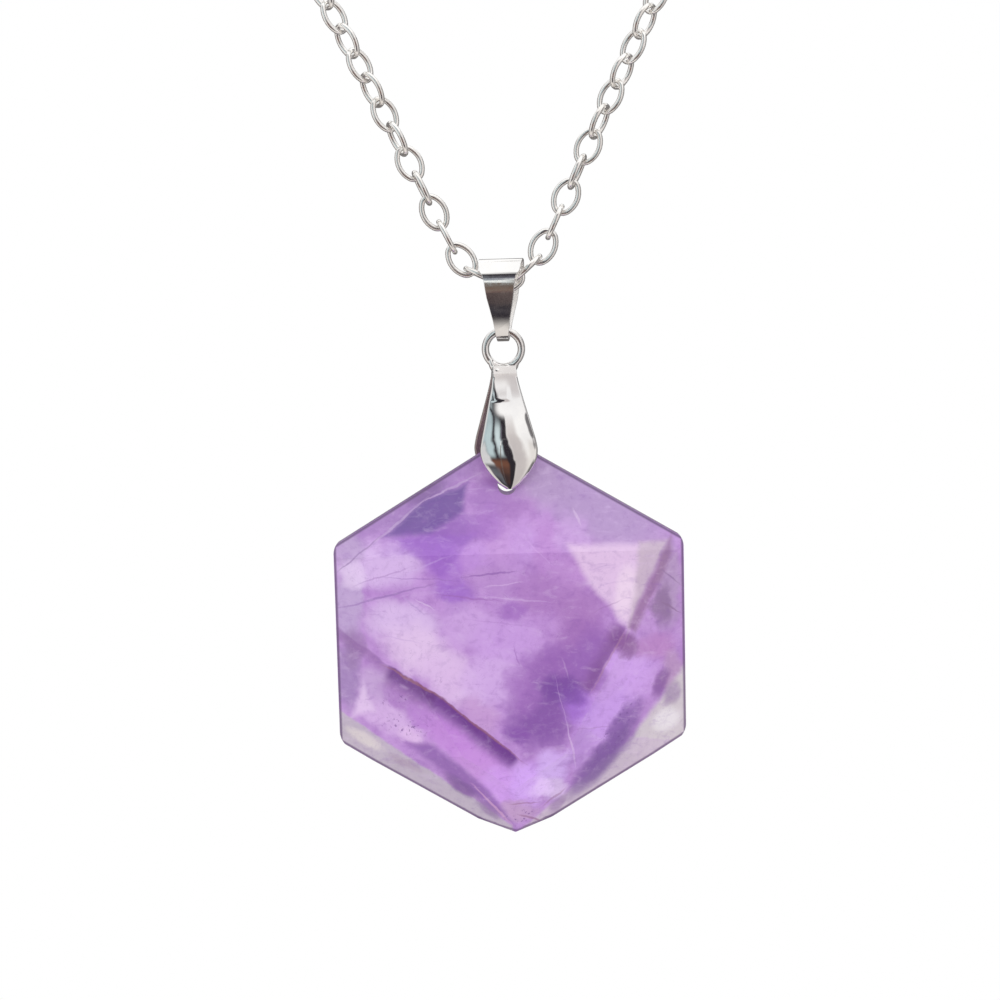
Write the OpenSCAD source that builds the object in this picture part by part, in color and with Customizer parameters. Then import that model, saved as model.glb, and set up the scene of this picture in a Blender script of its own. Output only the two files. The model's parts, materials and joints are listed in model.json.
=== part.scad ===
// Faceted hexagonal crystal pendant on its necklace chain.
// X is to the wearer's left, the front faces -Y, Z is up.
// The origin is at the nape, on the axis of the clasp.

/* [Crystal] */
// Width of the hexagon between two opposite sides
crystal_across = 27.8; // [20:0.2:36]
// Thickness from the front table to the back table
crystal_thick = 7.4; // [6:0.1:9]
// Radius of the worn corners of the outline
corner_round = 0.9; // [0.5:0.1:1.5]
// Slope of the six large facets from the tables, in degrees
facet_slope = 32; // [26:1:34]
// Distance of a table's edges from the middle of the stone
table_reach = 8; // [7.4:0.1:8.2]
// Distance of the front table's upper edge from the middle
table_reach_top = 7.1; // [6.6:0.1:8]
// Slope of the narrow facets along the two lower sides
bevel_slope = 42; // [38:1:46]
// Width of those narrow facets at their wide end
bevel_width = 2.4; // [1.2:0.1:3]
// Diameter of the hole drilled through the stone
hole_d = 1.5; // [1.3:0.1:1.8]
// Distance of the hole below the sharp upper corner
hole_below_tip = 3.7; // [3.5:0.1:4]

/* [Band bail] */
// Height of the tapered loop that the chain passes through
bail_height = 6.62; // [6:0.1:8]
// Outer radius of the loop's wide top bend
bail_top_r = 2.1; // [2.05:0.05:2.4]
// Outer radius of the loop's narrow lower bend
bail_low_r = 0.84; // [0.84:0.02:0.9]
// Thickness of the sheet metal
bail_wall = 0.25; // [0.2:0.05:0.3]
// Turn of the loop about the vertical as it hangs, in degrees
bail_turn = -6; // [-8:1:0]

/* [Pinch bail] */
// Outer diameter of the ring
ring_d = 3.48; // [3.3:0.05:3.7]
// Thickness of the ring's wire
ring_wire = 0.6; // [0.5:0.05:0.6]
// Width of the neck under the ring
neck_width = 1.9; // [1.6:0.1:2.1]
// Thickness of the two leaves
leaf_sheet = 0.35; // [0.3:0.05:0.45]
// Diameter of the pegs that enter the stone's hole
peg_d = 0.8; // [0.6:0.1:0.9]
// Turn of the neck and the leaves from the ring and the stone, in degrees
leaf_turn = 5.5; // [0:0.5:6]

/* [Chain] */
// Thickness of the links' wire
link_wire = 0.4; // [0.36:0.01:0.4]
// Length of one link over its ends
link_long = 3.12; // [3.12:0.02:3.3]
// Bulge of a link's sides: distance between the middles of its end and side arcs
link_bulge = 1.1; // [1.05:0.05:1.2]
// Links on each side of the one inside the band bail
links_side = 99; // [98:1:100]

/* [Clasp] */
// Thickness of the clasp's body
clasp_d = 2.4; // [2:0.1:3]
// Radius of each eye, to the middle of its wire
eye_r = 0.85; // [0.8:0.05:1]
// Thickness of the eyes' wire
eye_wire = 0.5; // [0.45:0.05:0.55]

/* [Hidden] */

silver = [0.80, 0.80, 0.82];
amethyst = [0.62, 0.42, 0.80];

// Play left between metal pieces that hang in each other
play = 0.1;

// Heights are measured from the middle of the band bail's top bend
low_bend_z = -(bail_height - bail_top_r - bail_low_r);
ring_r = (ring_d - ring_wire) / 2;
ring_z = low_bend_z - ring_r;
corner_reach = crystal_across / sqrt(3);
tip_below_ring = 7.1;
tip_z = ring_z - tip_below_ring;
stone_z = tip_z - corner_reach;
hole_reach = corner_reach - hole_below_tip;
half_thick = crystal_thick / 2;
// Depth of the narrow facets, as a share of the large facets' fall at their wide end
bevel_share = 0.92;

// Depth of the stone's front and back at the hole, which the leaves straddle
hole_front = half_thick - (hole_reach - table_reach_top) * tan(facet_slope);
stone_y = -(half_thick - hole_front) / 2;

// The turned pegs run aslant through the hole, so they stop short of its top
peg_reach = (half_thick + hole_front) / 2;
peg_aside = peg_reach * sin(leaf_turn);
peg_play = 0.11;
peg_room = (hole_d - peg_d) / 2 - peg_play;
peg_z = stone_z + hole_reach + sqrt(max(peg_room ^ 2 - peg_aside ^ 2, 0));

// The stone's weight hangs straight under the ring, so the drop leans a little
drop_lean = atan(-stone_y / (low_bend_z - stone_z));

// Half width of the band bail by depth below its top, as seen from the front
BAIL_DEPTH = 0;
BAIL_HALF = 1;
bail_outline = [
  [-0.5, 1.80],
  [0.0, 1.78],
  [1.0, 1.63],
  [1.4, 1.37],
  [1.8, 1.25],
  [2.3, 1.19],
  [3.2, 1.07],
  [4.1, 0.87],
  [5.05, 0.67],
  [5.8, 0.56],
  [6.3, 0.50],
  [7.0, 0.40],
];

// One row for each section of a leaf: depth below the ring's middle, half width,
// distance of the inner edges from the leaf pair's middle, and height of the crown
LEAF_DEPTH = 0;
LEAF_HALF = 1;
LEAF_EDGE = 2;
LEAF_CROWN = 3;
leaf_sections = [
  [2.00, 0.93, 0.28, 0.02],
  [2.90, 1.10, 0.62, 0.05],
  [3.90, 1.33, 1.02, 0.08],
  [4.35, 1.44, 1.20, 0.30],
  [5.30, 1.68, 1.55, 0.46],
  [6.30, 1.93, 1.92, 0.56],
  [7.20, 2.15, 2.18, 0.62],
  [8.10, 2.27, 2.30, 0.64],
  [8.80, 2.13, 2.37, 0.58],
  [9.70, 1.66, 2.38, 0.42],
  [10.35, 1.12, 2.39, 0.26],
  [10.80, 0.66, 2.40, 0.14],
  [11.08, 0.25, 2.42, 0.04],
];
leaf_steps = 10;

// Shape of the hanging chain, by links from its lowest point:
// climb above the horizontal, bearing from +X, and roll about its own line
climb = [
  [0, 0],
  [0.25, 8],
  [0.75, 26],
  [1.25, 42],
  [1.75, 54],
  [2.25, 62],
  [3.5, 65],
  [11, 64],
  [36, 55],
  [62, 34],
  [106, 0],
];
bearing = [
  [0, 0],
  [13, 0],
  [58, 84],
  [106, 180],
];
roll = [
  [0, 0],
  [4, 0],
  [9, -40],
];

// The link inside the band bail sits a little to the right of its middle
middle_link_x = 0.32;
middle_link_shift = 0.25;
middle_link_play = 0.25;
// A link's end arcs and side arcs meet on the slope of a 3-4-5 triangle
link_a = (link_long - link_wire) / 2;
arc_meet = [0.6, 0.8];
arc_meet_turn = 53.13;
link_end_r = link_a - link_bulge * arc_meet.x;
link_side_r = link_end_r + link_bulge;
link_b = link_side_r - link_bulge * arc_meet.y;
link_play = 0.12;
link_hook = link_wire + link_play;
// Extra play where one link turns sharply from the next, for a full turn of 90 degrees
bend_play = 0.78;
middle_lean = lookup(middle_link_shift, climb);
middle_half = link_wire / 2 + norm([link_a * sin(middle_lean), link_b * cos(middle_lean)]);
middle_link_z = bail_top_r - bail_wall - middle_link_play - middle_half;

function signed_climb(t) = sign(t) * lookup(abs(t), climb);
function signed_bearing(t) = sign(t) * lookup(abs(t), bearing);
function unit(v) = v / norm(v);
function heading(t) = [
  cos(signed_climb(t)) * cos(signed_bearing(t)),
  cos(signed_climb(t)) * sin(signed_bearing(t)),
  sin(signed_climb(t)),
];
function joint(a, b) = link_a * (a + b) - (link_hook + bend_play * (1 - a * b)) * unit(a + b);
function link_step(t) = joint(heading(t), heading(t + 1));

// Middles of the links of one side, from the link in the bail to the nape
function side_centres(shift, x) = [
  for (
    i = 0, c = [x, 0, middle_link_z];
    i <= links_side;
    c = c + link_step(i + shift), i = i + 1
  ) c
];

right_centres = side_centres(middle_link_shift, middle_link_x);
left_centres = side_centres(-middle_link_shift, -middle_link_x);

// Middle of the clasp eye's wire, hooked into the last link of a side
eye_hook = (link_wire + eye_wire) / 2 + play * 1.5;
function eye_point(centres, shift) =
  centres[links_side]
  + link_a * heading(links_side + shift)
  - eye_hook * unit(heading(links_side + shift) + [-1, 0, 0]);
right_eye = eye_point(right_centres, middle_link_shift);
left_eye_mirrored = eye_point(left_centres, -middle_link_shift);
left_eye = [-left_eye_mirrored.x, left_eye_mirrored.y, left_eye_mirrored.z];
clasp_line = right_eye - left_eye;
clasp_length = norm(clasp_line);
clasp_roll = lookup(links_side, roll);
last_link_odd = links_side % 2;
nape = [0, (right_eye.y + left_eye.y) / 2, (right_eye.z + left_eye.z) / 2];

$fn = 48;

// Moves a point of the pendant, measured from the bail's top bend, into the frame
module from_bail() {
  translate(-nape) children();
}

// Leans what hangs under the band bail about the ring's top
module hanging() {
  from_bail()
    translate([0, 0, low_bend_z])
      rotate([drop_lean, 0, 0])
        translate([0, 0, -low_bend_z])
          children();
}

// Hexagonal prism with a point up and worn corners, around the Y axis
module hexagon_blank() {
  inner_reach = corner_reach - corner_round * 2 / sqrt(3);
  // A little thicker than the stone, because the tables are cut from it
  depth = crystal_thick * 1.2;
  flats = [
    for (k = [0:5]) each [
      inner_reach * [sin(60 * k), cos(60 * k)] + corner_round * [sin(60 * k - 30), cos(60 * k - 30)],
      inner_reach * [sin(60 * k), cos(60 * k)] + corner_round * [sin(60 * k + 30), cos(60 * k + 30)],
    ]
  ];
  rotate([90, 0, 0]) {
    linear_extrude(depth, center = true) polygon(flats);
    for (k = [0:5])
      translate(inner_reach * [sin(60 * k), cos(60 * k), 0])
        cylinder(r = corner_round, h = depth, center = true);
  }
}

// Block above a facet plane. turn is the way that the facet falls, clockwise from
// up; face is 1 for the front of the stone and -1 for its back
module facet_cut(turn, reach, slope, face) {
  size = crystal_across * 2;
  rotate([0, turn, 0])
    scale([1, face, 1])
      translate([0, -half_thick, reach])
        rotate([-slope, 0, 0])
          translate([-size / 2, -size, -size / 2])
            cube(size);
}

// Narrow facet along a lower side, wide at the side corner and gone at the lowest
module side_bevel(hand) {
  wide_reach = crystal_across / 2 - bevel_width / 2;
  edge_fall = (wide_reach - table_reach) * tan(facet_slope) * bevel_share;
  taper = atan(bevel_width / corner_reach);
  rotate([0, hand * (120 + 30 - taper / 2), 0])
    translate([0, -half_thick + edge_fall, wide_reach])
      rotate([-bevel_slope, 0, 0])
        translate([-crystal_across, -crystal_across, -crystal_across / 2])
          cube([2 * crystal_across, crystal_across, crystal_across]);
}

module crystal() {
  color(amethyst)
    hanging()
      translate([0, stone_y, stone_z])
        difference() {
          hexagon_blank();
          // The two tables
          for (face = [-1, 1])
            translate([-crystal_across, face * (half_thick + crystal_thick) - crystal_thick, -crystal_across])
              cube([2 * crystal_across, 2 * crystal_thick, 2 * crystal_across]);
          // The front facets fall to the top corner and the two lower side corners
          facet_cut(0, table_reach_top, facet_slope, 1);
          facet_cut(120, table_reach, facet_slope, 1);
          facet_cut(-120, table_reach, facet_slope, 1);
          // The back facets fall to the other three corners
          for (turn = [60, 180, 300])
            facet_cut(turn, table_reach, facet_slope, -1);
          for (hand = [-1, 1])
            side_bevel(hand);
          translate([0, 0, hole_reach])
            rotate([90, 0, 0])
              cylinder(d = hole_d, h = 2 * crystal_thick, center = true);
        }
}

// Solid tangent to two circles, one above the other, extruded across X
module bend_pair(top_r, low_r, width) {
  drop = -low_bend_z;
  lean = asin((top_r - low_r) / drop);
  side = [cos(lean), -sin(lean)];
  other = [-cos(lean), -sin(lean)];
  rotate([90, 0, 90]) {
    linear_extrude(width, center = true)
      polygon([top_r * side, [0, -drop] + low_r * side, [0, -drop] + low_r * other, top_r * other]);
    cylinder(r = top_r, h = width, center = true);
    translate([0, -drop, 0])
      cylinder(r = low_r, h = width, center = true);
  }
}

module band_bail() {
  loop_width = 5;
  half = [for (row = bail_outline) [row[BAIL_HALF], bail_top_r - row[BAIL_DEPTH]]];
  outline = concat(half, [for (k = [len(half) - 1:-1:0]) [-half[k].x, half[k].y]]);
  color(silver)
    from_bail()
      rotate([0, 0, bail_turn])
        intersection() {
          difference() {
            bend_pair(bail_top_r, bail_low_r, loop_width);
            bend_pair(bail_top_r - bail_wall, bail_low_r - bail_wall, loop_width + 1);
          }
          rotate([90, 0, 0])
            linear_extrude(3 * bail_top_r, center = true)
              polygon(outline);
        }
}

// Front leaf, a crowned sheet, as one closed skin of cross sections
module leaf() {
  across = leaf_steps + 1;
  ring = 2 * across;
  rows = len(leaf_sections);
  points = [
    for (s = leaf_sections) each concat(
      [for (j = [0:leaf_steps]) leaf_point(s, 2 * j / leaf_steps - 1, 0)],
      [for (j = [leaf_steps:-1:0]) leaf_point(s, 2 * j / leaf_steps - 1, leaf_sheet)]
    )
  ];
  sides = [
    for (i = [0:rows - 2], j = [0:ring - 1]) [
      i * ring + j,
      (i + 1) * ring + j,
      (i + 1) * ring + (j + 1) % ring,
      i * ring + (j + 1) % ring,
    ]
  ];
  caps = [
    [for (j = [0:ring - 1]) j],
    [for (j = [ring - 1:-1:0]) (rows - 1) * ring + j],
  ];
  polyhedron(points, concat(sides, caps), convexity = 4);
}

function leaf_point(section, across, out) = [
  section[LEAF_HALF] * across,
  -section[LEAF_EDGE] - section[LEAF_CROWN] * (1 - across ^ 2) - out,
  ring_z - section[LEAF_DEPTH],
];

module pinch_bail() {
  fold_r = leaf_sections[0][LEAF_EDGE] + leaf_sheet;
  fold_z = ring_z - leaf_sections[0][LEAF_DEPTH];
  peg_from = leaf_sections[len(leaf_sections) - 1][LEAF_EDGE] + leaf_sheet / 2;
  // The pegs' ends stop this far before the middle of the leaf pair
  peg_in = 0.6;
  neck_thick = 0.9;
  // The neck reaches a little into the ring's wire, as if soldered
  neck_top = ring_z - ring_r + 0.1;
  color(silver) {
    hanging()
      translate([0, 0, ring_z])
        rotate([90, 0, 0])
          rotate_extrude()
            translate([ring_r, 0])
              circle(d = ring_wire);
    hanging()
      rotate([0, 0, leaf_turn]) {
        translate([-neck_width / 2, -neck_thick / 2, fold_z])
          cube([neck_width, neck_thick, neck_top - fold_z]);
        translate([0, 0, fold_z])
          rotate([0, 90, 0])
            cylinder(r = fold_r, h = neck_width, center = true);
        for (face = [0, 1])
          mirror([0, face, 0]) {
            leaf();
            translate([0, -peg_from, peg_z])
              rotate([-90, 0, 0])
                cylinder(d = peg_d, h = peg_from - peg_in);
          }
      }
  }
}

// Arc of round wire around the Z axis, centred on the direction towards
module wire_arc(r, towards, half_turn) {
  rotate_extrude(angle = 2 * half_turn, start = towards - half_turn)
    translate([r, 0])
      circle(d = link_wire);
}

// Oval link of four arcs, long along X and flat in the XY plane
module link() {
  for (flip = [0, 180])
    rotate([0, 0, flip]) {
      translate([link_bulge * arc_meet.x, 0, 0])
        wire_arc(link_end_r, 0, arc_meet_turn);
      translate([0, -link_bulge * arc_meet.y, 0])
        wire_arc(link_side_r, 90, 90 - arc_meet_turn);
    }
}

// Links first to last of one side, each a quarter turn from the one before it
module chain_side(centres, shift, first) {
  for (i = [first:links_side])
    translate(centres[i])
      rotate([
        lookup(abs(i + shift), roll) + (i % 2 == 0 ? 90 : 0),
        -signed_climb(i + shift),
        signed_bearing(i + shift)
      ])
        link();
}

module chain_right() {
  color(silver)
    from_bail()
      chain_side(right_centres, middle_link_shift, 0);
}

module chain_left() {
  color(silver)
    from_bail()
      mirror([1, 0, 0])
        chain_side(left_centres, -middle_link_shift, 1);
}

module clasp() {
  body = clasp_length - 4 * eye_r + eye_wire;
  // The body narrows over this length to this radius at each end
  taper = 1.6;
  tip_r = 0.55;
  color(silver)
    from_bail()
      translate((right_eye + left_eye) / 2)
        rotate([
          0,
          -asin(clasp_line.z / clasp_length),
          atan2(clasp_line.y, clasp_line.x)
        ])
          rotate([(last_link_odd ? -90 : 0) - clasp_roll, 0, 0]) {
            rotate([0, 90, 0])
              rotate_extrude()
                polygon([
                  [0, -body / 2],
                  [tip_r, -body / 2],
                  [clasp_d / 2, taper - body / 2],
                  [clasp_d / 2, body / 2 - taper],
                  [tip_r, body / 2],
                  [0, body / 2],
                ]);
            for (side = [-1, 1])
              translate([side * (clasp_length / 2 - eye_r), 0, 0])
                rotate_extrude()
                  translate([eye_r, 0])
                    circle(d = eye_wire);
          }
}

crystal();
pinch_bail();
band_bail();
chain_left();
chain_right();
clasp();
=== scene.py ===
"""Looks of a faceted violet crystal pendant on its chain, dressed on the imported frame."""

import json
import math

import bmesh
import bpy
import numpy as np
from mathutils import Matrix, Vector


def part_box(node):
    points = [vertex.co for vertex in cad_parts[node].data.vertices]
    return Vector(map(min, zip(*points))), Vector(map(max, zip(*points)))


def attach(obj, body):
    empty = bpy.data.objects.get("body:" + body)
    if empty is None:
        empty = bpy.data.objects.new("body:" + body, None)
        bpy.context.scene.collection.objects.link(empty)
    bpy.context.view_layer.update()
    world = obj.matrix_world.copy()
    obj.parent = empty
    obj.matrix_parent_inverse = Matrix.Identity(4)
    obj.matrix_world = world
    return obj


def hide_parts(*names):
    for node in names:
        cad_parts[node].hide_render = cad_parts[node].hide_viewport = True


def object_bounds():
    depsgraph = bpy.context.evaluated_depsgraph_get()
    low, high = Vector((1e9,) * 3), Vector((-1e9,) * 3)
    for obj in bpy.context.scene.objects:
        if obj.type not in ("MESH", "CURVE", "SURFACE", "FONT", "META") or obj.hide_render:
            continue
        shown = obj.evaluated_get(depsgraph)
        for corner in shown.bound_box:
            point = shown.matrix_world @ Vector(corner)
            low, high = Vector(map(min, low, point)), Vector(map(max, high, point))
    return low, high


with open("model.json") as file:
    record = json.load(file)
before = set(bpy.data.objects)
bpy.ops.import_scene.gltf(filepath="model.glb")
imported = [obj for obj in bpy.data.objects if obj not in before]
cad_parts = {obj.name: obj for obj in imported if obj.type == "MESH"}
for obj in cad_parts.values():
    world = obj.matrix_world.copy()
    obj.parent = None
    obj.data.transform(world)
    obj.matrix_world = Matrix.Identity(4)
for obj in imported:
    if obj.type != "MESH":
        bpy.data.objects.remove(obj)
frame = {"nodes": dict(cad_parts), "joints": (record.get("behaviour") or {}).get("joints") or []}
cad_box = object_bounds()

MM = 0.001
JOINTS = {joint["name"]: Vector(joint["pos_m"]) for joint in frame["joints"]}
BAIL_BEND = JOINTS["bail_swing"]
RING_TOP = JOINTS["drop_swing"]
# How far the stone and its bail lean, in degrees
DROP_LEAN = 3.816


# Camera

PHOTO_WIDTH = 80 * MM
CAMERA_DISTANCE = 0.5
CAMERA_ROLL = 1.45
SENSOR = 36
# Middle of the photograph, to the right of and above the band bail's top bend
PHOTO_MIDDLE = Vector((-0.58, 0, -17.2)) * MM


def add_camera():
    data = bpy.data.cameras.new("camera")
    data.sensor_width = SENSOR
    data.lens = SENSOR * CAMERA_DISTANCE / PHOTO_WIDTH
    data.clip_start = 0.01
    data.clip_end = 20
    camera = bpy.data.objects.new("camera", data)
    bpy.context.collection.objects.link(camera)
    target = BAIL_BEND + PHOTO_MIDDLE
    level = Matrix.Rotation(math.radians(90), 4, "X")
    roll = Matrix.Rotation(math.radians(-CAMERA_ROLL), 4, "Z")
    camera.matrix_world = Matrix.Translation(target - Vector((0, CAMERA_DISTANCE, 0))) @ level @ roll
    bpy.context.scene.camera = camera


# Node helpers


class Nodes:
    """Adds nodes to a tree. A plain value sets a socket, and a socket links it.

    Sockets are named by their label, or by the letter i and their number."""

    def __init__(self, tree):
        self.tree = tree
        tree.nodes.clear()

    def add(self, kind, settings=None, **sockets):
        node = self.tree.nodes.new(kind)
        for name, value in (settings or {}).items():
            setattr(node, name, value)
        for name, value in sockets.items():
            self.set(node, name.replace("_", " "), value)
        return node

    def set(self, node, name, value):
        numbered = name[0] == "i" and name[1:].isdigit()
        socket = node.inputs[int(name[1:]) if numbered else name]
        if isinstance(value, bpy.types.NodeSocket):
            self.tree.links.new(value, socket)
        else:
            socket.default_value = value

    def math(self, operation, a, b=0.0, c=0.0):
        return self.add("ShaderNodeMath", {"operation": operation}, i0=a, i1=b, i2=c).outputs[0]

    def vector(self, operation, a, b=(0, 0, 0)):
        node = self.add("ShaderNodeVectorMath", {"operation": operation}, i0=a, i1=b)
        return node.outputs["Value" if operation == "DOT_PRODUCT" else "Vector"]

    def smooth(self, value, low, high, to_low=0.0, to_high=1.0):
        settings = {"interpolation_type": "SMOOTHSTEP"}
        ends = {"i1": low, "i2": high, "i3": to_low, "i4": to_high}
        return self.add("ShaderNodeMapRange", settings, i0=value, **ends).outputs[0]

    def between(self, value, low, high, soft, strength=1.0):
        """The strength where a value lies between two, with soft ends."""
        rise = self.smooth(value, low - soft, low + soft, 0, strength)
        fall = self.smooth(value, high + soft, high - soft)
        return self.math("MULTIPLY", rise, fall)

    def noise(self, vector, scale, detail=3.0, roughness=0.5, distortion=0.0):
        return self.add(
            "ShaderNodeTexNoise",
            Vector=vector,
            Scale=scale,
            Detail=detail,
            Roughness=roughness,
            Distortion=distortion,
        )

    def mix(self, factor, a, b, blend="MIX"):
        settings = {"data_type": "RGBA", "blend_type": blend}
        return self.add("ShaderNodeMix", settings, i0=factor, i6=a, i7=b).outputs[2]


def linear(red, green, blue):
    """A screen colour of 0 to 255 as linear light."""
    light = []
    for part in (red, green, blue):
        share = part / 255
        light.append(share / 12.92 if share <= 0.04045 else ((share + 0.055) / 1.055) ** 2.4)
    return (*light, 1.0)


def new_material(name):
    material = bpy.data.materials.new(name)
    material.use_nodes = True
    nodes = Nodes(material.node_tree)
    output = nodes.add("ShaderNodeOutputMaterial")
    return material, nodes, output


# Silver


def silver_material(name, tone, dull, rough_low, rough_high, swell=None, metal=1.0):
    """Polished metal whose tone drifts to a duller one, with fine wear.

    swell is the height below which the front rounds off a little, and how much."""
    material, nodes, output = new_material(name)
    place = nodes.add("ShaderNodeTexCoord").outputs["Object"]
    cloud = nodes.noise(place, 420, 4).outputs["Fac"]
    fine = nodes.noise(place, 2600, 5, 0.65).outputs["Fac"]
    colour = nodes.mix(nodes.smooth(cloud, 0.35, 0.7), linear(*tone), linear(*dull))
    roughness = nodes.smooth(fine, 0.3, 0.75, rough_low, rough_high)
    bump = nodes.add("ShaderNodeBump", Height=fine, Strength=0.05, Distance=0.00001)
    if swell:
        middle, strength = swell
        rise = nodes.add("ShaderNodeSeparateXYZ", Vector=place).outputs[2]
        rise = nodes.math("MINIMUM", nodes.math("SUBTRACT", rise, middle), 0.0)
        rounding = nodes.math("MULTIPLY", nodes.math("MULTIPLY", rise, rise), -strength)
        bump = nodes.add("ShaderNodeBump", Height=rounding, Distance=1.0, Normal=bump.outputs[0])
    shader = nodes.add(
        "ShaderNodeBsdfPrincipled",
        Base_Color=colour,
        Metallic=metal,
        Roughness=roughness,
        Normal=bump.outputs[0],
    )
    nodes.set(output, "Surface", shader.outputs[0])
    return material


# Height below which the band bail's front rounds off a little, and how much
BAND_SWELL_TOP = BAIL_BEND.z - 1.5 * MM
BAND_SWELL = 40


# Crystal

STONE_LOW, STONE_HIGH = (Vector(corner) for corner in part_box("crystal"))
STONE_MIDDLE = (STONE_LOW + STONE_HIGH) / 2
STONE_ACROSS = STONE_HIGH.x - STONE_LOW.x
CORNER_RADIUS = 1.6 * MM

LILAC = linear(176, 132, 198)
LAVENDER = linear(192, 150, 212)
SPECK_TONE = linear(112, 76, 140)
# Painted dark edge shade along the stone's outline
RIM_SHADE_TONE = linear(100, 78, 114)
SHADOW_TINT = linear(222, 196, 236)

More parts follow.
